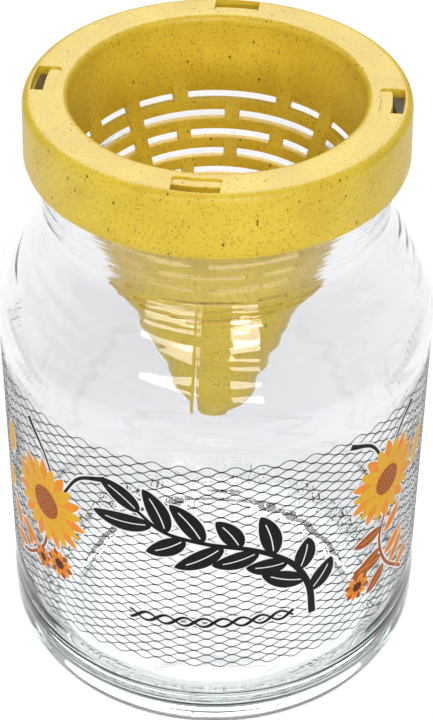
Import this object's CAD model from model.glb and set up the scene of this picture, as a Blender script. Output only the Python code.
import math

import bmesh
import bpy
import numpy as np
from mathutils import Matrix, Vector


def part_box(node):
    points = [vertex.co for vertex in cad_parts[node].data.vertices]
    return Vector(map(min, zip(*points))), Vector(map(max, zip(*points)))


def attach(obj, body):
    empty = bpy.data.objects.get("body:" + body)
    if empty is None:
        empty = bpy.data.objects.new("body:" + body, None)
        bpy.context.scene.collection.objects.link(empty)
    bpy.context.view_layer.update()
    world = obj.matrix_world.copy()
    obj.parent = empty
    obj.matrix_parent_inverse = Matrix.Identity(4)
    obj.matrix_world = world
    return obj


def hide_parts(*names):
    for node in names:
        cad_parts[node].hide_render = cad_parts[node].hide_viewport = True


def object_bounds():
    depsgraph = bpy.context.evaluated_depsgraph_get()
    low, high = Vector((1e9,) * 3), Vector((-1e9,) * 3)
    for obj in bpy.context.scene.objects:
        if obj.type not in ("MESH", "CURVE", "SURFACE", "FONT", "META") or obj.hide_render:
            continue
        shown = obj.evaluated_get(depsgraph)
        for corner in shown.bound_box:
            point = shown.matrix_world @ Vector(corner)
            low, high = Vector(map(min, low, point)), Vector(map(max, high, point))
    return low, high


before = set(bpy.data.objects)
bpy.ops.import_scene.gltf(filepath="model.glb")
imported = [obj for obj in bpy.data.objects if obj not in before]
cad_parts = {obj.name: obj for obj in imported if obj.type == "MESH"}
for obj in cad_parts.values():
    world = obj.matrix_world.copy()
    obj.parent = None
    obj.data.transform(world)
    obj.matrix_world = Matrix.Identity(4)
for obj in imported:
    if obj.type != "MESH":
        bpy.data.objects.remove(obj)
cad_low, cad_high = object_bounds()

MM = 0.001

# ---- sizes, in millimetres, as the CAD part has them ------------------------

TOTAL_HEIGHT = cad_high.z / MM
WINDOW_TURN = -96.5
WINDOWS = 4

JAR_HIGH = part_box("glass_jar")[1].z / MM
PANEL_RADIUS = 51.85
WALL = 2.8
NECK_RADIUS = 40.4
NECK_TOP = 141.4
SHOULDER_END = 128.0
FINISH_RADIUS = 39.4
MOUTH_RADIUS = 36.4
THREAD_BAR = 1.3
THREAD_PROUD = 0.3
THREAD_FADE = 3.0
THREAD_HALF_SWEEP = 34.0
THREAD_LEAD = 15.0
THREAD_HEIGHT = 149.3
THREAD_SLOPE = 2.6
SEAM_TURN = -95.5
SEAM_PROUD = 0.13
SEAM_WIDTH = 0.33
RIPPLE_DEPTH = 0.30

COLLAR_RADIUS = 43.5
COLLAR_FLARE = 0.45
COLLAR_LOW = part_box("screw_collar")[0].z / MM
PLATE = 2.2
OPENING_RADIUS = 33.4
WINDOW_INNER = 36.2
WINDOW_LEDGE = 38.85
WINDOW_OUTER = 41.7
WINDOW_ROUND = 1.0
WINDOW_HALF_WIDTH = 5.2
LEDGE_DEPTH = 0.45
SKIRT_WALL = 1.7
LUG_REACH = 39.8
LUG_TOP = 147.1
LUG_HEIGHT = 2.4
LUG_HALF_SWEEP = 7.5
COLLAR_BEVEL = 0.22

FLANGE_RADIUS = 39.0
SEAT_GAP = 0.02
COLLAR_GAP = 0.05
FUNNEL_WALL = 1.6
FUNNEL_BEND = 140.0
BEND_RADIUS = 32.7
TIP_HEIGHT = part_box("funnel_insert")[0].z / MM
TIP_RADIUS = 5.9
SLOT_ROWS = 7
SLOT_FIRST = 136.8
SLOT_PITCH = 4.35
SLOT_HEIGHT = 1.5
SLOT_RELIEF = 2.5
SLOT_LONG = 38.5
SLOT_SHORT = 16.0
# middle, in degrees from a window, and sweep of the slots in each quarter turn of a row
ROW_UNDER_WINDOWS = ((0.0, SLOT_LONG), (33.75, SLOT_SHORT), (56.25, SLOT_SHORT))
ROW_STAGGERED = ((22.5, SLOT_LONG), (67.5, SLOT_LONG))
FUNNEL_BEVEL = 0.13

FILM_LOW, FILM_HIGH = (corner.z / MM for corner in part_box("label_film"))
FILM_RADIUS = PANEL_RADIUS + 0.05
FILM_THICK = 0.12
FILM_HALF_SWEEP = 102.0
INK_RADIUS = FILM_RADIUS + FILM_THICK + 0.01
INK_THICK = 0.05
FRONT = -90.0

# ---- mesh helpers -----------------------------------------------------------


SHARP_ANGLE = 35.0
BEVEL_ANGLE = 32.0


def make_object(name, vertices, faces, material):
    """A mesh object from points in millimetres, welded, with its normals turned outward."""
    mesh = bpy.data.meshes.new(name)
    mesh.from_pydata((np.asarray(vertices, float) * MM).tolist(), [], faces)
    work = bmesh.new()
    work.from_mesh(mesh)
    bmesh.ops.remove_doubles(work, verts=work.verts, dist=0.002 * MM)
    bmesh.ops.dissolve_degenerate(work, edges=work.edges, dist=0.001 * MM)
    bmesh.ops.recalc_face_normals(work, faces=work.faces)
    work.to_mesh(mesh)
    work.free()
    mesh.materials.append(material)
    mesh.shade_smooth()
    mesh.set_sharp_from_angle(angle=math.radians(SHARP_ANGLE))
    piece = bpy.data.objects.new(name, mesh)
    bpy.context.scene.collection.objects.link(piece)
    return piece


def bevelled(piece, width):
    """Round the sharp edges of a piece by a width in millimetres."""
    modifier = piece.modifiers.new("edges", "BEVEL")
    modifier.width = width * MM
    modifier.segments = 2
    modifier.limit_method = "ANGLE"
    modifier.angle_limit = math.radians(BEVEL_ANGLE)
    modifier.harden_normals = True
    return piece


def rounded_line(corners, arc_step=20.0):
    """Points of an open line through (x, y, rounding) corners, round corners as arcs."""
    points = [np.array(corners[0][:2], float)]
    for before, corner, after in zip(corners, corners[1:], corners[2:]):
        spot = np.array(corner[:2], float)
        rounding = corner[2] if len(corner) > 2 else 0.0
        if rounding == 0.0:
            points.append(spot)
            continue
        back = np.array(before[:2], float) - spot
        ahead = np.array(after[:2], float) - spot
        back /= np.linalg.norm(back)
        ahead /= np.linalg.norm(ahead)
        inside = math.acos(np.clip(back @ ahead, -1.0, 1.0))
        middle = (back + ahead) / np.linalg.norm(back + ahead)
        centre = spot + middle * rounding / math.sin(inside / 2)
        start = spot + back * rounding / math.tan(inside / 2) - centre
        finish = spot + ahead * rounding / math.tan(inside / 2) - centre
        sweep = math.pi - inside
        steps = max(2, math.ceil(math.degrees(sweep) / arc_step))
        for step in range(steps + 1):
            share = step / steps
            mix = math.sin((1 - share) * sweep) * start + math.sin(share * sweep) * finish
            points.append(centre + mix / math.sin(sweep))
    points.append(np.array(corners[-1][:2], float))
    return np.array(points)


def finely(points, longest):
    """The same line with points added so that no stretch is longer than longest(x, y)."""
    fine = [points[0]]
    for start, finish in zip(points, points[1:]):
        length = np.linalg.norm(finish - start)
        limit = longest(*((start + finish) / 2))
        steps = max(1, math.ceil(length / limit))
        for step in range(1, steps + 1):
            fine.append(start + (finish - start) * step / steps)
    return np.array(fine)


def on_axis(radius, height, degrees):
    """Points at a radius, height and turn about Z."""
    turn = np.radians(degrees)
    return np.stack([radius * np.cos(turn), radius * np.sin(turn), height + 0 * turn], -1)


def lathe(name, outline, columns, material, shape):
    """A closed solid turned about Z from an outline that begins and ends on the axis.

    shape(radius, height, degrees, index) gives the radius of every point, index being its place
    along the outline.
    """
    rings = outline[1:-1]
    columns = np.asarray(columns, float)
    radius = np.repeat(rings[:, :1], len(columns), 1)
    height = np.repeat(rings[:, 1:], len(columns), 1)
    index = np.arange(len(rings))[:, None]
    radius = shape(radius, height, columns[None, :], index)
    points = on_axis(radius, height, np.broadcast_to(columns, radius.shape)).reshape(-1, 3)
    count = len(columns)
    faces = []
    for ring in range(len(rings) - 1):
        for column in range(count):
            after = (column + 1) % count
            here = ring * count
            faces.append((here + column, here + after, here + count + after, here + count + column))
    first = len(points)
    ends = [[0, 0, outline[0][1]], [0, 0, outline[-1][1]]]
    last_ring = (len(rings) - 1) * count
    for column in range(count):
        after = (column + 1) % count
        faces.append((first, after, column))
        faces.append((first + 1, last_ring + column, last_ring + after))
    return make_object(name, np.vstack([points, ends]), faces, material)


def swept(outline, start, finish, step=1.5):
    """Points and faces of a closed (radius, height) outline swept about Z, with end caps."""
    count = max(1, math.ceil((finish - start) / step))
    angles = np.linspace(start, finish, count + 1)
    radius, height = outline.T
    size = len(outline)
    points = np.concatenate([on_axis(radius, height, np.full(size, angle)) for angle in angles])
    faces = [tuple(range(size)), tuple(range(count * size, (count + 1) * size))]
    for row in range(count):
        for i in range(size):
            after = (i + 1) % size
            here = row * size
            faces.append((here + i, here + after, here + size + after, here + size + i))
    return points, faces


def combined(parts):
    """Several (points, faces) pairs as one."""
    points = []
    faces = []
    offset = 0
    for some_points, some_faces in parts:
        points.append(some_points)
        faces += [tuple(offset + i for i in face) for face in some_faces]
        offset += len(some_points)
    return np.concatenate(points), faces


def shell(bands, columns, corner, is_open):
    """A turned shell with openings, as (points, faces).

    Each cell lies between two bands and two columns. corner(skin, band, cell, turn, middle)
    gives a corner's radius, height and turn on one of the two skins, for the cell whose middle
    angle is given, and is_open(cell, middle) says which cells are holes. Where neighbours don't
    meet, the step between them is closed.
    """
    points = []
    faces = []
    pairs = list(zip(columns, list(columns[1:]) + [columns[0] + 360.0]))

    def put(*spots):
        base = len(points)
        for radius, height, turn in spots:
            angle = math.radians(turn)
            points.append((radius * math.cos(angle), radius * math.sin(angle), height))
        faces.append(tuple(range(base, base + len(spots))))

    def edge_along(skin, cell_band, band, pair):
        middle = (pair[0] + pair[1]) / 2
        return [corner(skin, band, cell_band, turn, middle) for turn in pair]

    def edge_down(skin, cell_band, turn, middle):
        return [corner(skin, band, cell_band, turn, middle) for band in (cell_band, cell_band + 1)]

    def differ(first, second):
        return any(abs(a - b) > 1e-6 for p, q in zip(first, second) for a, b in zip(p, q))

    def join(first, second):
        put(first[0], first[1], second[1], second[0])

    def side_wall(solid, cell, turn, open_middle):
        """The wall beside a hole, with the corners of the cells over and under the hole in its outline."""
        spots = []
        for band, beyond, order in ((cell, cell - 1, (0, 1)), (cell + 1, cell + 1, (1, 0))):
            own = [solid[skin][band - cell] for skin in order]
            between = []
            if 0 <= beyond < bands - 1 and not is_open(beyond, open_middle):
                between = [corner(skin, band, beyond, turn, open_middle) for skin in order]
            extra = [spot for spot, mine in zip(between, own) if differ([spot], [mine])]
            spots += [own[0], *extra, own[1]]
        put(*spots)

    for number, pair in enumerate(pairs):
        middle = (pair[0] + pair[1]) / 2
        following = pairs[(number + 1) % len(pairs)]
        next_middle = (following[0] + following[1]) / 2
        for cell in range(bands - 1):
            here_open = is_open(cell, middle)
            if not here_open:
                for skin in (0, 1):
                    top = edge_along(skin, cell, cell, pair)
                    low = edge_along(skin, cell, cell + 1, pair)
                    join(top, low)
            # towards the next column
            turn = pair[1]
            next_open = is_open(cell, next_middle)
            mine = [edge_down(skin, cell, turn, middle) for skin in (0, 1)]
            theirs = [edge_down(skin, cell, turn, next_middle) for skin in (0, 1)]
            if here_open != next_open:
                solid = theirs if here_open else mine
                open_middle = middle if here_open else next_middle
                side_wall(solid, cell, turn, open_middle)
            elif not here_open:
                for skin in (0, 1):
                    if differ(mine[skin], theirs[skin]):
                        join(mine[skin], theirs[skin])
            # towards the next band
            if cell == bands - 2:
                continue
            below_open = is_open(cell + 1, middle)
            mine = [edge_along(skin, cell, cell + 1, pair) for skin in (0, 1)]
            theirs = [edge_along(skin, cell + 1, cell + 1, pair) for skin in (0, 1)]
            if here_open != below_open:
                solid = theirs if here_open else mine
                join(solid[0], solid[1])
            elif not here_open:
                for skin in (0, 1):
                    if differ(mine[skin], theirs[skin]):
                        join(mine[skin], theirs[skin])
        for band, cell in ((0, 0), (bands - 1, bands - 2)):
            ends = [edge_along(skin, cell, band, pair) for skin in (0, 1)]
            join(ends[0], ends[1])
    return np.array(points), faces


def turns_with(breaks, longest):
    """Angles round the axis that include every break and leave no gap over longest."""
    breaks = sorted(set(round(b % 360.0, 6) for b in breaks))
    angles = []
    for start, finish in zip(breaks, breaks[1:] + [breaks[0] + 360.0]):
        steps = max(1, math.ceil((finish - start) / longest))
        angles += [start + (finish - start) * step / steps for step in range(steps)]
    return angles


# ---- material helpers -------------------------------------------------------


class Nodes:
    """Short calls for building a material's node tree."""

    def __init__(self, name):
        self.material = bpy.data.materials.new(name)
        self.material.use_nodes = True
        self.tree = self.material.node_tree
        self.tree.nodes.clear()
        self.output = self.add("ShaderNodeOutputMaterial")

    def add(self, kind, **settings):
        node = self.tree.nodes.new(kind)
        for key, value in settings.items():
            setattr(node, key, value)
        return node

    def link(self, source, target):
        self.tree.links.new(source, target)

    def fill(self, node, **values):
        self.feed([node.inputs[key.replace("_", " ")] for key in values], values.values())
        return node

    def coordinates(self, scale=(1.0, 1.0, 1.0)):
        """The piece's own coordinates in millimetres, times a scale."""
        place = self.add("ShaderNodeTexCoord")
        mapping = self.add("ShaderNodeMapping")
        mapping.inputs["Scale"].default_value = tuple(s / MM for s in scale)
        self.link(place.outputs["Object"], mapping.inputs["Vector"])
        return mapping.outputs["Vector"]

    def noise(self, vector, scale, detail=3.0):
        node = self.add("ShaderNodeTexNoise")
        self.fill(node, Vector=vector, Scale=scale, Detail=detail)
        return node.outputs["Fac"]

    def ramp(self, value, low, high, low_to=0.0, high_to=1.0):
        node = self.add("ShaderNodeMapRange", clamp=True)
        self.fill(node, Value=value)
        node.inputs["From Min"].default_value = low
        node.inputs["From Max"].default_value = high
        node.inputs["To Min"].default_value = low_to
        node.inputs["To Max"].default_value = high_to
        return node.outputs["Result"]

    def feed(self, sockets, values):
        """Set each socket to its value, or link it where the value is another node's output."""
        for socket, value in zip(sockets, values):
            if isinstance(value, bpy.types.NodeSocket):
                self.link(value, socket)
            else:
                socket.default_value = value

    def math(self, operation, first, second):
        node = self.add("ShaderNodeMath", operation=operation)
        self.feed(node.inputs, (first, second))
        return node.outputs[0]

    def mix(self, share, first, second):
        node = self.add("ShaderNodeMix", data_type="RGBA")
        factor, first_colour, second_colour = node.inputs[0], node.inputs[6], node.inputs[7]
        self.feed((factor, first_colour, second_colour), (share, first, second))
        return node.outputs[2]

    def bump(self, height, strength, distance):
        node = self.add("ShaderNodeBump")
        self.fill(node, Height=height, Strength=strength, Distance=distance * MM)
        return node.outputs["Normal"]

    def principled(self, **values):
        node = self.add("ShaderNodeBsdfPrincipled")
        self.fill(node, **values)
        return node

    def shadowless(self, shader, tint):
        """The shader, but letting light through in a tint where it would cast a shadow."""
        clear = self.add("ShaderNodeBsdfTransparent")
        clear.inputs["Color"].default_value = tint
        path = self.add("ShaderNodeLightPath")
        mixed = self.add("ShaderNodeMixShader")
        self.link(path.outputs["Is Shadow Ray"], mixed.inputs[0])
        self.link(shader, mixed.inputs[1])
        self.link(clear.outputs[0], mixed.inputs[2])
        return mixed.outputs[0]

    def finish(self, shader):
        self.link(shader, self.output.inputs["Surface"])
        return self.material


def bioplastic():
    """Satin yellow moulded plastic, mottled, with many brown plant-fibre specks."""
    n = Nodes("bioplastic")
    place = n.coordinates()
    mottle = n.ramp(n.noise(place, 0.09, 4.0), 0.3, 0.7)
    colour = n.mix(mottle, (0.69, 0.475, 0.028, 1), (0.79, 0.58, 0.044, 1))
    dust = n.ramp(n.noise(place, 1.5, 2.0), 0.54, 0.70, 0.0, 0.46)
    colour = n.mix(dust, colour, (0.36, 0.175, 0.016, 1))
    # cells per mm, reach of a speck in its cell, share of cells left empty, darkness
    specks = ((0.70, 0.22, 0.89, 0.95), (1.3, 0.22, 0.86, 0.85), (2.4, 0.26, 0.74, 0.50))
    for scale, reach, empty, dark in specks:
        cells = n.add("ShaderNodeTexVoronoi", feature="F1")
        n.fill(cells, Vector=n.coordinates((1.0, 1.0, 0.55)), Scale=scale, Randomness=1.0)
        spot = n.ramp(cells.outputs["Distance"], reach * 0.5, reach, 1.0, 0.0)
        picked = n.add("ShaderNodeSeparateColor")
        n.link(cells.outputs["Color"], picked.inputs["Color"])
        chosen = n.math("GREATER_THAN", picked.outputs[0], empty)
        mask = n.math("MULTIPLY", n.math("MULTIPLY", spot, chosen), dark)
        colour = n.mix(mask, colour, (0.13, 0.045, 0.005, 1))
    grain = n.noise(place, 2.4, 3.0)
    shader = n.principled(
        Base_Color=colour,
        Roughness=n.ramp(grain, 0.3, 0.7, 0.36, 0.50),
        Normal=n.bump(grain, 0.25, 0.05),
    )
    shader.inputs["Specular IOR Level"].default_value = 0.40
    shader.inputs["Coat Weight"].default_value = 0.12
    shader.inputs["Coat Roughness"].default_value = 0.16
    shader.inputs["Subsurface Weight"].default_value = 0.12
    shader.inputs["Subsurface Radius"].default_value = (1.0, 0.55, 0.15)
    shader.inputs["Subsurface Scale"].default_value = 1.2 * MM
    return n.finish(shader.outputs[0])


def jar_glass():
    """Clear pressed glass: faintly green where it is thick, rippled, and stippled round the foot."""
    n = Nodes("jar_glass")
    place = n.coordinates()
    streaks = n.noise(n.coordinates((0.05, 0.05, 0.17)), 1.0, 2.0)
    fine = n.noise(n.coordinates((0.07, 0.07, 1.1)), 1.0, 3.0)
    separate = n.add("ShaderNodeSeparateXYZ")
    n.link(place, separate.inputs[0])
    flat = n.add("ShaderNodeVectorMath", operation="MULTIPLY")
    n.link(place, flat.inputs[0])
    flat.inputs[1].default_value = (1, 1, 0)
    reach = n.add("ShaderNodeVectorMath", operation="LENGTH")
    n.link(flat.outputs[0], reach.inputs[0])
    foot = n.math(
        "MULTIPLY",
        n.ramp(separate.outputs["Z"], 3.5, 5.5, 1.0, 0.0),
        n.ramp(reach.outputs["Value"], 41.0, 43.0),
    )
    pimples = n.add("ShaderNodeTexVoronoi", feature="SMOOTH_F1")
    n.fill(pimples, Vector=place, Scale=0.95)
    stipple = n.math("MULTIPLY", n.ramp(pimples.outputs["Distance"], 0.15, 0.6), foot)
    shoulder = n.math(
        "MULTIPLY",
        n.ramp(separate.outputs["Z"], 121.0, 130.0),
        n.ramp(separate.outputs["Z"], 150.0, 140.0),
    )
    streaked = n.math("ADD", streaks, n.math("MULTIPLY", fine, n.math("MULTIPLY", shoulder, 0.7)))
    above = n.ramp(separate.outputs["Z"], 92.0, 112.0, 0.08, 1.0)
    rippled = n.bump(n.math("MULTIPLY", streaked, above), 0.17, 0.5)
    surface = n.add("ShaderNodeBump")
    n.fill(surface, Height=stipple, Strength=0.9, Distance=0.5 * MM, Normal=rippled)
    shader = n.principled(Normal=surface.outputs["Normal"])
    shader.inputs["Base Color"].default_value = (0.975, 0.966, 0.985, 1)
    shader.inputs["Roughness"].default_value = 0.0
    shader.inputs["IOR"].default_value = 1.5
    shader.inputs["Transmission Weight"].default_value = 1.0
    body = n.add("ShaderNodeVolumeAbsorption")
    body.inputs["Color"].default_value = (0.30, 0.475, 0.385, 1)
    body.inputs["Density"].default_value = 17.0
    n.link(body.outputs[0], n.output.inputs["Volume"])
    return n.finish(n.shadowless(shader.outputs[0], (0.84, 0.84, 0.847, 1)))


def film():
    """Thin clear sleeve, just visible by a soft sheen."""
    n = Nodes("clear_film")
    cloud = n.noise(n.coordinates(), 0.12, 2.0)
    shader = n.principled(Alpha=n.ramp(cloud, 0.3, 0.7, 0.03, 0.06))
    shader.inputs["Base Color"].default_value = (0.93, 0.93, 0.94, 1)
    shader.inputs["Roughness"].default_value = 0.12
    return n.finish(shader.outputs[0])


def ink(name, colour):
    """Screen-print ink, slightly uneven in tone."""
    n = Nodes(name)
    place = n.coordinates()
    uneven = n.ramp(n.noise(place, 0.9, 3.0), 0.3, 0.7)
    paler = tuple(min(1.0, c * 1.12 + 0.004) for c in colour)
    shader = n.principled(
        Base_Color=n.mix(uneven, (*colour, 1), (*paler, 1)),
        Normal=n.bump(n.noise(place, 3.5, 2.0), 0.15, 0.02),
    )
    shader.inputs["Roughness"].default_value = 0.42
    shader.inputs["Specular IOR Level"].default_value = 0.08
    return n.finish(n.shadowless(shader.outputs[0], (1, 1, 1, 1)))


def floor_paper():
    """Plain white paper that fades to grey in front of the jar, towards the eye."""
    n = Nodes("floor_paper")
    place = n.coordinates()
    fibre = n.noise(place, 0.6, 3.0)
    split = n.add("ShaderNodeSeparateXYZ")
    n.link(place, split.inputs[0])
    lit = n.ramp(split.outputs["Y"], -190.0, -80.0)
    white = n.mix(fibre, (0.93, 0.93, 0.93, 1), (0.95, 0.95, 0.95, 1))
    shader = n.principled(Base_Color=n.mix(lit, (0.55, 0.55, 0.56, 1), white))
    shader.inputs["Roughness"].default_value = 0.9
    shader.inputs["Specular IOR Level"].default_value = 0.1
    shader.inputs["Emission Color"].default_value = (1, 1, 1, 1)
    shader.inputs["Emission Strength"].default_value = 0.07
    return n.finish(shader.outputs[0])


# ---- glass jar --------------------------------------------------------------

JAR_OUTLINE = [
    (0, 3.6),
    (32.5, 2.4, 6),
    (37.5, 0, 1.5),
    (52.45, 0, 13),
    (52.45, 20, 5),
    (PANEL_RADIUS, 24, 4),
    (PANEL_RADIUS, 94.8, 5.0),
    (PANEL_RADIUS + 0.35, 97.8, 5.0),
    (PANEL_RADIUS + 0.35, 102.3, 9),
    (NECK_RADIUS, SHOULDER_END, 9),
    (NECK_RADIUS, NECK_TOP, 1),
    (FINISH_RADIUS, NECK_TOP + 1.6, 0.8),
    (FINISH_RADIUS, JAR_HIGH, 0.9),
    (MOUTH_RADIUS, JAR_HIGH, 0.9),
    (MOUTH_RADIUS, SHOULDER_END - 0.5, 9),
    (PANEL_RADIUS - WALL, 100.8, 9),
    (PANEL_RADIUS - WALL, 8.6, 10),
    (0, 8.6),
]


def ripple(height, degrees):
    """The gentle unevenness of the jar's inner face, from -1 to 1."""
    turn = np.radians(degrees)
    # strength, waves round the jar, radians per mm of height, phase
    waves = (
        (0.34, 3, 0.11, 0.4),
        (0.26, 5, 0.19, 1.9),
        (0.12, 2, 0.61, 2.7),
        (0.10, 7, 0.93, 0.9),
        (0.08, 4, 1.37, 4.4),
        (0.06, 9, 1.71, 3.1),
    )
    return sum(a * np.sin(m * turn + k * height + p) for a, m, k, p in waves)


def jar_shape(first_inner):
    """A lathe shape that adds thread bars, mould seams and ripple; inner points start at first_inner."""

    def shape(radius, height, degrees, index):
        inner = index >= first_inner
        # thread bars, four round ridges that climb as they go round the mouth
        beside = (degrees - WINDOW_TURN - THREAD_LEAD + 45.0) % 90.0 - 45.0
        climb = FINISH_RADIUS * np.sin(np.radians(beside)) * math.tan(math.radians(THREAD_SLOPE))
        off = height - THREAD_HEIGHT - climb
        fade = np.clip((THREAD_HALF_SWEEP - np.abs(beside)) / THREAD_FADE, 0.0, 1.0)
        ridge = THREAD_PROUD + np.sqrt(np.clip(THREAD_BAR**2 - off**2, 0.0, None))
        ridge = ridge * fade * (abs(off) < THREAD_BAR)
        on_finish = ~inner & (height > NECK_TOP + 2.0) & (height < JAR_HIGH - 1.0)
        radius = radius + np.where(on_finish, ridge, 0.0)
        # mould seams, front and back
        away = (degrees - SEAM_TURN + 90.0) % 180.0 - 90.0
        seam = SEAM_PROUD * np.exp(-((away / SEAM_WIDTH) ** 2))
        on_body = ~inner & (height > 4.0) & (height < 139.0)
        radius = radius + np.where(on_body, seam, 0.0)
        # the inner face ripples, most of all above the label panel
        ease = np.clip((height - 12.0) / 14.0, 0, 1) * np.clip((128.0 - height) / 8.0, 0, 1)
        ease *= np.interp(height, (86.0, 106.0), (0.22, 1.0))
        return radius + np.where(inner, RIPPLE_DEPTH * ease * ripple(height, degrees), 0.0)

    return shape


def make_jar(material):
    def longest(radius, height):
        by_threads = 145.0 < height < 154.0
        rippled = radius < PANEL_RADIUS - 1.0 and 12.0 < height < 128.0
        if by_threads:
            return 0.35
        return 0.9 if rippled else 2.5

    outline = finely(rounded_line(JAR_OUTLINE, 12.0), longest)
    first_inner = int(np.argmax(outline[:, 1])) + 2
    across_seam = (-0.9, -0.45, -0.2, 0, 0.2, 0.45, 0.9)
    seams = [SEAM_TURN + side + off for side in (0, 180) for off in across_seam]
    jar = lathe("jar_glass_wall", outline, turns_with(seams, 1.6), material, jar_shape(first_inner))
    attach(jar, "jar")
    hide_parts("glass_jar")
    return jar


# ---- collar -----------------------------------------------------------------


def near_window(degrees):
    """Degrees from the nearest window's middle, from -45 to 45."""
    return (degrees - WINDOW_TURN + 45.0) % 90.0 - 45.0


def window_half(radius):
    """Half a window's sweep in degrees at a radius."""
    return math.degrees(math.asin(WINDOW_HALF_WIDTH / radius))


def squared(radius, degrees):
    """Turn an angle so that the window sides are parallel instead of radial."""
    offset = near_window(degrees)
    widest = window_half(WINDOW_OUTER)
    wanted = window_half(min(max(radius, WINDOW_INNER), WINDOW_OUTER))
    if abs(offset) <= widest:
        moved = offset * wanted / widest
    else:
        moved = math.copysign(wanted + (abs(offset) - widest) * (45.0 - wanted) / (45.0 - widest), offset)
    return degrees - offset + moved


def corner_round(turn):
    """How far the window's inner edge steps out at this angle, so that its corners are round."""
    aside = abs(math.radians(near_window(turn))) * WINDOW_INNER
    into = min(aside, WINDOW_HALF_WIDTH) - (WINDOW_HALF_WIDTH - WINDOW_ROUND)
    if into <= 0.0:
        return 0.0
    step = WINDOW_ROUND - math.sqrt(max(0.0, WINDOW_ROUND**2 - into**2))
    return step * max(0.0, 1.0 - max(0.0, aside - WINDOW_HALF_WIDTH) / 3.0)


def collar_skins():
    """The collar's upper and under lines, point for point, from the opening to the skirt's edge."""
    top = TOTAL_HEIGHT
    under = top - PLATE
    low = COLLAR_LOW
    wide = COLLAR_RADIUS + COLLAR_FLARE
    lip = rounded_line([(OPENING_RADIUS, under + 0.8), (OPENING_RADIUS, top, 1.4), (WINDOW_INNER, top)], 15.0)
    edge = rounded_line([(WINDOW_OUTER, top), (COLLAR_RADIUS, top, 2.0), (wide, low + 1.2)], 12.0)
    foot = rounded_line([(wide - 0.3, low + 1.0), (wide - 0.3, low, 0.4), (wide - 1.0, low)], 20.0)
    upper = np.vstack([lip, [(WINDOW_LEDGE, top)], edge, foot])
    corner = (COLLAR_RADIUS - SKIRT_WALL + 0.1, under, 0.8)
    inner_edge = rounded_line([(WINDOW_OUTER, under), corner, (wide - SKIRT_WALL, low)], 12.0)
    lengths = np.linspace(0, 1, len(edge) + len(foot))
    along = np.concatenate([[0], np.cumsum(np.linalg.norm(np.diff(inner_edge, axis=0), axis=1))])
    inner = np.stack([np.interp(lengths, along / along[-1], inner_edge[:, k]) for k in (0, 1)], -1)
    flat = [(radius, under) for radius in np.linspace(OPENING_RADIUS, WINDOW_INNER, len(lip))]
    lower = np.vstack([flat, [(WINDOW_LEDGE, under)], inner])
    return upper, lower


def make_collar(material):
    upper, lower = collar_skins()
    ledge_band = int(np.flatnonzero(np.isclose(upper[:, 0], WINDOW_LEDGE))[0])

    def in_window(middle):
        return abs(near_window(middle)) < window_half(WINDOW_OUTER)

    def corner(skin, band, cell, turn, middle):
        radius, height = (upper, lower)[skin][band]
        if skin == 0 and cell == ledge_band - 1 and in_window(middle):
            height -= LEDGE_DEPTH
        turn = squared(radius, turn)
        if skin == 0 and band == ledge_band - 1:
            radius += corner_round(turn)
        return radius, height, turn

    def is_open(cell, middle):
        return cell == ledge_band and in_window(middle)

    half = window_half(WINDOW_OUTER)
    near_corner = [side * half * share for side in (-1, 1) for share in (0.80, 0.86, 0.91, 0.95, 0.98, 1.0)]
    breaks = [WINDOW_TURN + 90.0 * number + offset for number in range(WINDOWS) for offset in near_corner]
    body = shell(len(upper), turns_with(breaks, 1.8), corner, is_open)
    root = COLLAR_RADIUS - SKIRT_WALL + 0.6
    lug_line = rounded_line(
        [
            (root, LUG_TOP),
            (LUG_REACH, LUG_TOP, 0.5),
            (LUG_REACH, LUG_TOP - LUG_HEIGHT + 0.8, 0.5),
            (root, LUG_TOP - LUG_HEIGHT - 0.6),
        ]
    )
    lugs = []
    for number in range(WINDOWS):
        middle = WINDOW_TURN + 90.0 * number
        lugs.append(swept(lug_line, middle - LUG_HALF_SWEEP, middle + LUG_HALF_SWEEP))
    points, faces = combined([body] + lugs)
    collar = bevelled(make_object("collar_ring", points, faces, material), COLLAR_BEVEL)
    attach(collar, "collar")
    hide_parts("screw_collar")
    return collar


# ---- funnel -----------------------------------------------------------------


def cone_radius(height):
    """Inner radius of the funnel's cone at a height."""
    share = (height - TIP_HEIGHT) / (FUNNEL_BEND - TIP_HEIGHT)
    return TIP_RADIUS + share * (BEND_RADIUS - TIP_RADIUS)


def slots_of(row):
    return ROW_STAGGERED if row % 2 else ROW_UNDER_WINDOWS


def over_slot(row, middle):
    offset = (middle - WINDOW_TURN) % 90.0
    for centre, sweep in slots_of(row):
        away = abs((offset - centre + 45.0) % 90.0 - 45.0)
        if away < sweep / 2:
            return True
    return False


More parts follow.
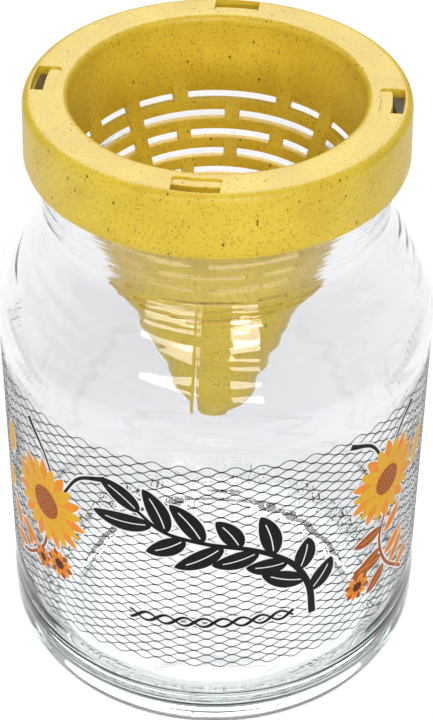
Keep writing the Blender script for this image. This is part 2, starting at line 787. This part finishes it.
def make_funnel(material):
    flange_top = TOTAL_HEIGHT - PLATE - COLLAR_GAP
    # a hair off the rim, so that plastic and glass don't share a plane
    flange_low = JAR_HIGH + SEAT_GAP
    wall = OPENING_RADIUS + 0.05
    inner = [(FLANGE_RADIUS, flange_top), (wall + FUNNEL_WALL, flange_top), (wall, flange_top)]
    outer = [
        (FLANGE_RADIUS, flange_low),
        (wall + FUNNEL_WALL + 0.3, flange_low),
        (wall + FUNNEL_WALL, flange_low - 0.4),
    ]
    bend = rounded_line(
        [(wall, flange_low - 3.0), (BEND_RADIUS, FUNNEL_BEND, 4), (cone_radius(135.0), 135.0)], 4.0
    )
    crest_first = SLOT_FIRST + SLOT_HEIGHT + SLOT_RELIEF
    for radius, height in bend:
        if height > crest_first + 0.05:
            inner.append((radius, height))
            outer.append((radius + FUNNEL_WALL, height))
    # what each cell of the slotted cone is: its row, its part, and the height its relief begins at
    role = {}
    for row in range(SLOT_ROWS):
        foot = SLOT_FIRST - row * SLOT_PITCH
        head = foot + SLOT_HEIGHT
        crest = head + SLOT_RELIEF
        for height, part in ((crest, "relief"), (head, "slot"), (foot, "solid")):
            role[len(inner)] = (row, part, crest)
            radius = min(cone_radius(height), BEND_RADIUS + max(0.0, height - FUNNEL_BEND) * 0.06)
            inner.append((radius, height))
            outer.append((radius + FUNNEL_WALL, height))
    last_slot = inner[-1][1]
    for height in np.linspace(last_slot, TIP_HEIGHT + 0.4, 9)[1:]:
        inner.append((cone_radius(height), height))
        outer.append((cone_radius(height) + FUNNEL_WALL, height))
    inner.append((TIP_RADIUS + 0.25, TIP_HEIGHT))
    outer.append((TIP_RADIUS + FUNNEL_WALL - 0.25, TIP_HEIGHT))

    def corner(skin, band, cell, turn, middle):
        radius, height = (inner, outer)[skin][band]
        row, part, crest = role.get(cell, (0, "", 0.0))
        if skin == 0 and part == "relief" and band == cell + 1 and over_slot(row, middle):
            radius = cone_radius(crest)
        return radius, height, turn

    def is_open(cell, middle):
        row, part, _ = role.get(cell, (0, "", 0.0))
        return part == "slot" and over_slot(row, middle)

    breaks = []
    for row in (0, 1):
        for centre, sweep in slots_of(row):
            for quarter in range(4):
                middle = WINDOW_TURN + 90.0 * quarter + centre
                breaks += [middle - sweep / 2, middle + sweep / 2]
    points, faces = shell(len(inner), turns_with(breaks, 2.0), corner, is_open)
    funnel = bevelled(make_object("funnel_cone", points, faces, material), FUNNEL_BEVEL)
    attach(funnel, "funnel")
    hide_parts("funnel_insert")
    return funnel


# ---- printed film -----------------------------------------------------------

NET_CELLS = 30
NET_CELL = 6.79
NET_CREST = -1.76
NET_LINES = 47
NET_LOW = 27.7
NET_HIGH = 91.8
NET_LINE = 0.22


def make_film(material):
    outline = np.array(
        [
            (FILM_RADIUS, FILM_LOW),
            (FILM_RADIUS + FILM_THICK, FILM_LOW),
            (FILM_RADIUS + FILM_THICK, FILM_HIGH),
            (FILM_RADIUS, FILM_HIGH),
        ]
    )
    points, faces = swept(outline, FRONT - FILM_HALF_SWEEP, FRONT + FILM_HALF_SWEEP, 1.6)
    sleeve = make_object("film_sleeve", points, faces, material)
    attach(sleeve, "jar")
    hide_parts("label_film")
    return sleeve


def printed(line, widths, columns=1, lift=0.0, thick=INK_THICK):
    """A closed strip of print, as (points, faces), along (arc, height) points in mm on the film.

    widths are across the line; columns is how many faces lie across, so that wide shapes follow
    the curve of the film.
    """
    line = np.asarray(line, float)
    ahead = np.gradient(line, axis=0)
    ahead /= np.linalg.norm(ahead, axis=1)[:, None]
    side = np.stack([-ahead[:, 1], ahead[:, 0]], -1)
    half = np.broadcast_to(np.asarray(widths, float), len(line)) / 2
    across = np.linspace(1.0, -1.0, columns + 1)
    spots = line[:, None, :] + side[:, None, :] * half[:, None, None] * across[None, :, None]
    turn = FRONT + np.degrees(spots[..., 0] / INK_RADIUS)
    rises = (lift, lift + thick)
    skins = [on_axis(np.full(turn.shape, INK_RADIUS + rise), spots[..., 1], turn) for rise in rises]
    points = np.concatenate([skin.reshape(-1, 3) for skin in skins])
    rows, wide = len(line), columns + 1
    upper = rows * wide
    loop = [(0, j) for j in range(wide)] + [(1, j) for j in reversed(range(wide))]
    index = [skin * upper + j for skin, j in loop]
    faces = []
    for i in range(rows - 1):
        for a, b in zip(index, index[1:] + index[:1]):
            faces.append((i * wide + a, i * wide + b, (i + 1) * wide + b, (i + 1) * wide + a))
    for i in (0, rows - 1):
        for j in range(columns):
            here = i * wide + j
            faces.append((here, here + 1, upper + here + 1, upper + here))
    return points, faces


def make_net(material):
    """Wavy printed lines that touch, crest to trough, and so draw a net of long cells."""
    parts = []
    swing = ((NET_HIGH - NET_LOW) / NET_LINES - NET_LINE * 0.8) / 2
    heights = np.linspace(NET_LOW + swing, NET_HIGH - swing, NET_LINES)
    turns = np.arange(-NET_CELLS / 2, NET_CELLS / 2 + 1e-6, 1 / 12.0) * NET_CELL + NET_CREST
    arcs = np.radians(turns) * INK_RADIUS
    # a cosine with broader crests
    wave = np.cos((turns - NET_CREST) / NET_CELL * 2 * math.pi)
    wave = np.sin(wave * 1.25) / math.sin(1.25)
    for number, height in enumerate(heights):
        sign = 1 if (NET_LINES - 1 - number) % 2 == 0 else -1
        line = np.stack([arcs, height + sign * swing * wave], -1)
        parts.append(printed(line, NET_LINE))
    points, faces = combined(parts)
    net = make_object("printed_net", points, faces, material)
    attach(net, "jar")
    return net


# ---- printed plants ---------------------------------------------------------

HALO = 0.45
LAYER = 0.016
GOLDEN_ANGLE = 2.39996


def arc_at(degrees):
    """Arc length along the film, in mm, of an angle from the front."""
    return math.radians(degrees) * INK_RADIUS


def bent(x, z, heading, length, bend):
    """Points of a line that starts at (x, z) and turns steadily by bend degrees on its way."""
    steps = 18
    angles = np.radians(heading + bend * (np.arange(steps) + 0.5) / steps)
    step = length / steps
    moves = np.stack([np.cos(angles), np.sin(angles)], -1) * step
    return np.vstack([[x, z], [x, z] + np.cumsum(moves, 0)])


def through(stops, step=1.2):
    """A smooth line through (arc, height) stops."""
    stops = [np.array(stop, float) for stop in stops]
    stops = [2 * stops[0] - stops[1]] + stops + [2 * stops[-1] - stops[-2]]
    line = [stops[1]]
    for a, b, c, d in zip(stops, stops[1:], stops[2:], stops[3:]):
        count = max(2, math.ceil(np.linalg.norm(c - b) / step))
        for i in range(1, count + 1):
            t = i / count
            square = (2 * a - 5 * b + 4 * c - d) * t**2
            cube = (3 * b - a - 3 * c + d) * t**3
            line.append(0.5 * (2 * b + (c - a) * t + square + cube))
    return np.array(line)


def along(line):
    """Share of the way along a line, from 0 to 1, at each of its points."""
    steps = np.linalg.norm(np.diff(line, axis=0), axis=1)
    return np.concatenate([[0], np.cumsum(steps)]) / steps.sum()


def leaf_widths(line, widest, blunt, belly=0.85):
    """Widths along a leaf: blunt rounds its ends and belly moves its widest place."""
    t = along(line)
    swell = np.clip(np.sin(math.pi * np.clip(t, 0.0, 1.0) ** belly), 0.0, 1.0)
    return np.maximum(widest * swell**blunt, 0.06)


class Print:
    """Printed shapes gathered by ink, each with a pale halo that keeps the net off it."""

    def __init__(self):
        self.inks = {}

    def put(self, ink, line, widths, layer=1, halo=True):
        widths = np.broadcast_to(np.asarray(widths, float), len(line))
        columns = max(1, math.ceil(widths.max() / 1.6))
        lift = layer * LAYER + INK_THICK
        self.inks.setdefault(ink, []).append(printed(line, widths, columns, lift, 0.02))
        if not halo:
            return
        start = line[0] + (line[0] - line[1]) / np.linalg.norm(line[0] - line[1]) * HALO
        finish = line[-1] + (line[-1] - line[-2]) / np.linalg.norm(line[-1] - line[-2]) * HALO
        wider = np.concatenate([[0.3], widths + 2 * HALO, [0.3]])
        longer = np.vstack([start, line, finish])
        halo_strip = printed(longer, wider, columns, INK_THICK - 0.01, 0.016)
        self.inks.setdefault("halo", []).append(halo_strip)

    def disc(self, ink, x, z, radius, layer):
        turns = np.radians(np.linspace(-88, 88, 15))
        line = np.stack([np.full(15, x), z + radius * np.sin(turns)], -1)
        self.put(ink, line, 2 * radius * np.cos(turns), layer, halo=False)

    def leaf(self, ink, x, z, heading, length, widest, bend, vein, layer=1, blunt=0.75):
        line = bent(x, z, heading, length, bend)
        self.put(ink, line, leaf_widths(line, widest, blunt), layer)
        self.put(vein, line[2:-4], 0.28, layer + 1, halo=False)

    def bloom(self, x, z, reach, petals, core, turn=0.0, inks=("yellow", "orange", "brown")):
        """A flower seen from the front: petals in two ranks round a seeded middle."""
        petal, line_ink, middle = inks
        for rank, (length, shift) in enumerate(((reach, 0.5), (reach * 0.93, 0.0))):
            for number in range(petals):
                heading = turn + (number + shift) * 360.0 / petals
                ray = np.array([math.cos(math.radians(heading)), math.sin(math.radians(heading))])
                start = np.array([x, z]) + ray * core * 0.8
                line = bent(start[0], start[1], heading, length - core * 0.8, 8.0)
                wide = 2.3 * math.pi * reach * 0.62 / petals * 0.62
                layer = 1 + 2 * rank + number % 2
                colour = petal if rank else line_ink
                self.put(colour, line, leaf_widths(line, wide, 0.6, 0.8), layer, halo=rank == 0)
                if rank:
                    self.put(line_ink, line[2:9], 0.3, 5, halo=False)
        self.disc(middle, x, z, core, 6)
        seeds = int(core * 9)
        for number in range(seeds):
            away = core * 0.88 * math.sqrt((number + 0.5) / seeds)
            angle = number * GOLDEN_ANGLE
            self.disc(line_ink, x + away * math.cos(angle), z + away * math.sin(angle), 0.17, 7)

    def build(self, name, ink_name, material):
        points, faces = combined(self.inks[ink_name])
        piece = make_object(name, points, faces, material)
        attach(piece, "jar")


def left_plant(art):
    middle = (arc_at(-50.5), 64.0)
    for stops in (((-46, 72), (-50, 80), (-56.5, 87)), ((-43, 71), (-37, 79), (-28.5, 82.5))):
        tendril = through([(arc_at(a), z) for a, z in stops])
        art.put("dark", tendril, 0.75 + 0.9 * along(tendril) ** 3)
    art.bloom(*middle, 13.5, 11, 4.6, 7.0)
    stem = through([(arc_at(a), z) for a, z in ((-50, 56), (-53, 48), (-60, 41), (-66, 38))])
    art.put("brown", stem, 0.9)
    spots = ((-56, 46, 150, 9.5), (-60, 43, 95, 8.5), (-63, 41, 175, 8.0), (-66, 45, 120, 9))
    for turn, height, heading, length in spots:
        art.leaf("orange", arc_at(turn), height, heading, length, 3.4, 25, "brown")
    art.bloom(arc_at(-46), 46.5, 4.6, 6, 1.5, 20.0, ("orange", "brown", "dark"))
    art.bloom(arc_at(-53.5), 44.0, 3.6, 6, 1.2, 50.0, ("orange", "brown", "dark"))
    art.leaf("yellow", arc_at(-72), 66, 70, 11.0, 5.5, 20, "orange")
    art.leaf("yellow", arc_at(-72), 60, 250, 10.0, 5.0, -20, "orange")


def right_plant(art):
    middle = (arc_at(51.5), 71.5)
    for stops in (((49, 79), (44, 86), (36.5, 89.3)), ((53, 80), (57, 86), (62, 89.6))):
        tendril = through([(arc_at(a), z) for a, z in stops])
        art.put("dark", tendril, 0.75 + 0.9 * along(tendril) ** 3)
    art.bloom(*middle, 12.6, 10, 4.2, 0.0)
    stem = through([(arc_at(a), z) for a, z in ((52, 62), (50, 53), (54, 43), (64, 34))])
    art.put("brown", stem, 0.9)
    spots = ((50.5, 57, 200, 10.0), (50.5, 50, 215, 11.0), (51.5, 47, 190, 10.5), (53, 43, 235, 9.0))
    for turn, height, heading, length in spots:
        art.leaf("brown", arc_at(turn), height, heading, length, 3.8, -25, "orange")
    spots = ((53, 46, 20, 9.0), (56, 41, 40, 9.5), (60, 37, 15, 8.0), (52, 54, 30, 9.0))
    for turn, height, heading, length in spots:
        art.leaf("orange", arc_at(turn), height, heading, length, 3.4, 25, "brown")
    art.bloom(arc_at(42), 42.0, 4.4, 6, 1.4, 10.0, ("orange", "brown", "dark"))
    art.leaf("yellow", arc_at(67), 66, 75, 12.0, 5.0, -15, "orange")


def middle_branch(art):
    """A bold leafy branch across the front, and a thin double wave below it."""
    stops = ((27, 41), (25.5, 51), (20, 60), (10, 66), (-2, 68.5), (-13, 71), (-20, 76))
    stem = through([(arc_at(a), z) for a, z in stops], 0.8)
    share = along(stem)
    art.put("dark", stem, 1.9 - 1.0 * share)
    for number, place in enumerate(np.linspace(0.13, 0.995, 13)):
        at = min(int(np.argmin(abs(share - place))), len(stem) - 2)
        heading = math.degrees(math.atan2(*(stem[at + 1] - stem[at])[::-1]))
        side = 1 if number % 2 else -1
        length = (11.6 + 1.8 * math.sin(number * 1.9)) * (0.85 + 0.35 * place)
        spread = 56 if number < 12 else 8
        art.leaf("dark", *stem[at], heading + side * spread, length, 5.2, -side * 26, "halo", 2 + side, 0.65)
    arcs = np.linspace(arc_at(-22.5), arc_at(21.5), 221)
    turns = arcs * 2 * math.pi / 9.2
    for side in (-1, 1):
        line = np.stack([arcs, 42.8 + side * 1.35 * np.sin(turns) + 0.02 * arcs], -1)
        art.put("dark", line, 0.72 + 0.20 * side * np.cos(turns), 2 + side)


def make_art():
    art = Print()
    left_plant(art)
    right_plant(art)
    middle_branch(art)
    art.build("art_halo", "halo", ink("ink_halo", (0.80, 0.80, 0.81)))
    art.build("art_dark", "dark", ink("ink_black", (0.009, 0.008, 0.010)))
    art.build("art_yellow", "yellow", ink("ink_yellow", (0.74, 0.40, 0.022)))
    art.build("art_orange", "orange", ink("ink_orange", (0.80, 0.27, 0.022)))
    art.build("art_brown", "brown", ink("ink_brown", (0.34, 0.085, 0.014)))


# ---- scene ------------------------------------------------------------------


def make_floor():
    """A flat floor, a hair under the jar's foot."""
    floor_mesh = bpy.data.meshes.new("floor")
    reach = 6.0
    corners = [(-reach, -reach, 0), (reach, -reach, 0), (reach, reach, 0), (-reach, reach, 0)]
    floor_mesh.from_pydata(corners, [], [(0, 1, 2, 3)])
    floor_mesh.materials.append(floor_paper())
    floor = bpy.data.objects.new("floor", floor_mesh)
    floor.location.z = -0.0002
    bpy.context.scene.collection.objects.link(floor)


def make_world():
    """A white room, dim near the horizon, brightest half way up and softer overhead."""
    world = bpy.data.worlds.new("studio")
    bpy.context.scene.world = world
    world.use_nodes = True
    tree = world.node_tree
    background = tree.nodes["Background"]
    direction = tree.nodes.new("ShaderNodeTexCoord")
    split = tree.nodes.new("ShaderNodeSeparateXYZ")
    grade = tree.nodes.new("ShaderNodeValToRGB")
    stops = grade.color_ramp.elements
    for element, (place, level) in zip((stops[0], stops[1]), ((0.12, 0.02), (0.82, 0.45))):
        element.position = place
        element.color = (level, level, level, 1)
    for place, level in ((0.22, 0.08), (0.36, 0.68), (0.60, 1.0)):
        element = stops.new(place)
        element.color = (level, level, level, 1)
    tree.links.new(direction.outputs["Generated"], split.inputs[0])
    tree.links.new(split.outputs["Z"], grade.inputs[0])
    tree.links.new(grade.outputs["Color"], background.inputs["Color"])
    background.inputs["Strength"].default_value = 0.64


def softbox(name, place, target, width, height, brightness):
    """An area light of a given brightness, so that its size can change on its own."""
    light = bpy.data.lights.new(name, "AREA")
    light.shape = "RECTANGLE"
    light.size = width
    light.size_y = height
    light.energy = brightness * math.pi * width * height
    lamp = bpy.data.objects.new(name, light)
    lamp.location = place
    lamp.rotation_mode = "QUATERNION"
    lamp.rotation_quaternion = (Vector(target) - Vector(place)).to_track_quat("-Z", "Y")
    bpy.context.scene.collection.objects.link(lamp)


def make_lights():
    softbox("behind", (0.0, 1.05, 0.95), (0, 0, 0.13), 1.1, 0.5, 5.8)
    softbox("left", (-1.0, 0.1, 0.45), (0, 0, 0.13), 0.5, 0.4, 1.8)
    softbox("key", (0.14, -0.80, 0.95), (0, 0, 0.13), 0.6, 0.5, 5.2)
    softbox("front_right", (0.27, -0.86, 0.345), (0, 0, 0.12), 0.26, 0.10, 18.0)
    softbox("front_left", (-0.40, -0.82, 0.345), (0, 0, 0.12), 0.52, 0.09, 10.0)


def make_camera():
    """The eye stands in front of the jar and looks down on it, a little over 0.4 m away."""
    camera = bpy.data.cameras.new("camera")
    camera.sensor_width = 36.0
    camera.lens = 98.2
    camera.clip_start = 0.01
    camera.clip_end = 50.0
    seat = bpy.data.objects.new("camera", camera)
    pitch, yaw, roll = (math.radians(angle) for angle in (90.0 - 38.356, -0.066, 0.5))
    facing = Matrix.Rotation(yaw, 4, "Z") @ Matrix.Rotation(pitch, 4, "X")
    place = Matrix.Translation((-0.0002, -0.37945, 0.38158))
    seat.matrix_world = place @ facing @ Matrix.Rotation(roll, 4, "Z")
    bpy.context.scene.collection.objects.link(seat)
    bpy.context.scene.camera = seat


plastic = bioplastic()
make_jar(jar_glass())
make_collar(plastic)
make_funnel(plastic)
make_film(film())
make_net(ink("ink_net", (0.022, 0.021, 0.026)))
make_art()
make_floor()
make_world()
make_lights()
make_camera()
bpy.context.scene.view_settings.view_transform = "Standard"
bpy.context.scene.cycles.transmission_bounces = 16
bpy.context.scene.cycles.transparent_max_bounces = 24
bpy.context.scene.cycles.max_bounces = 16

bpy.context.view_layer.update()
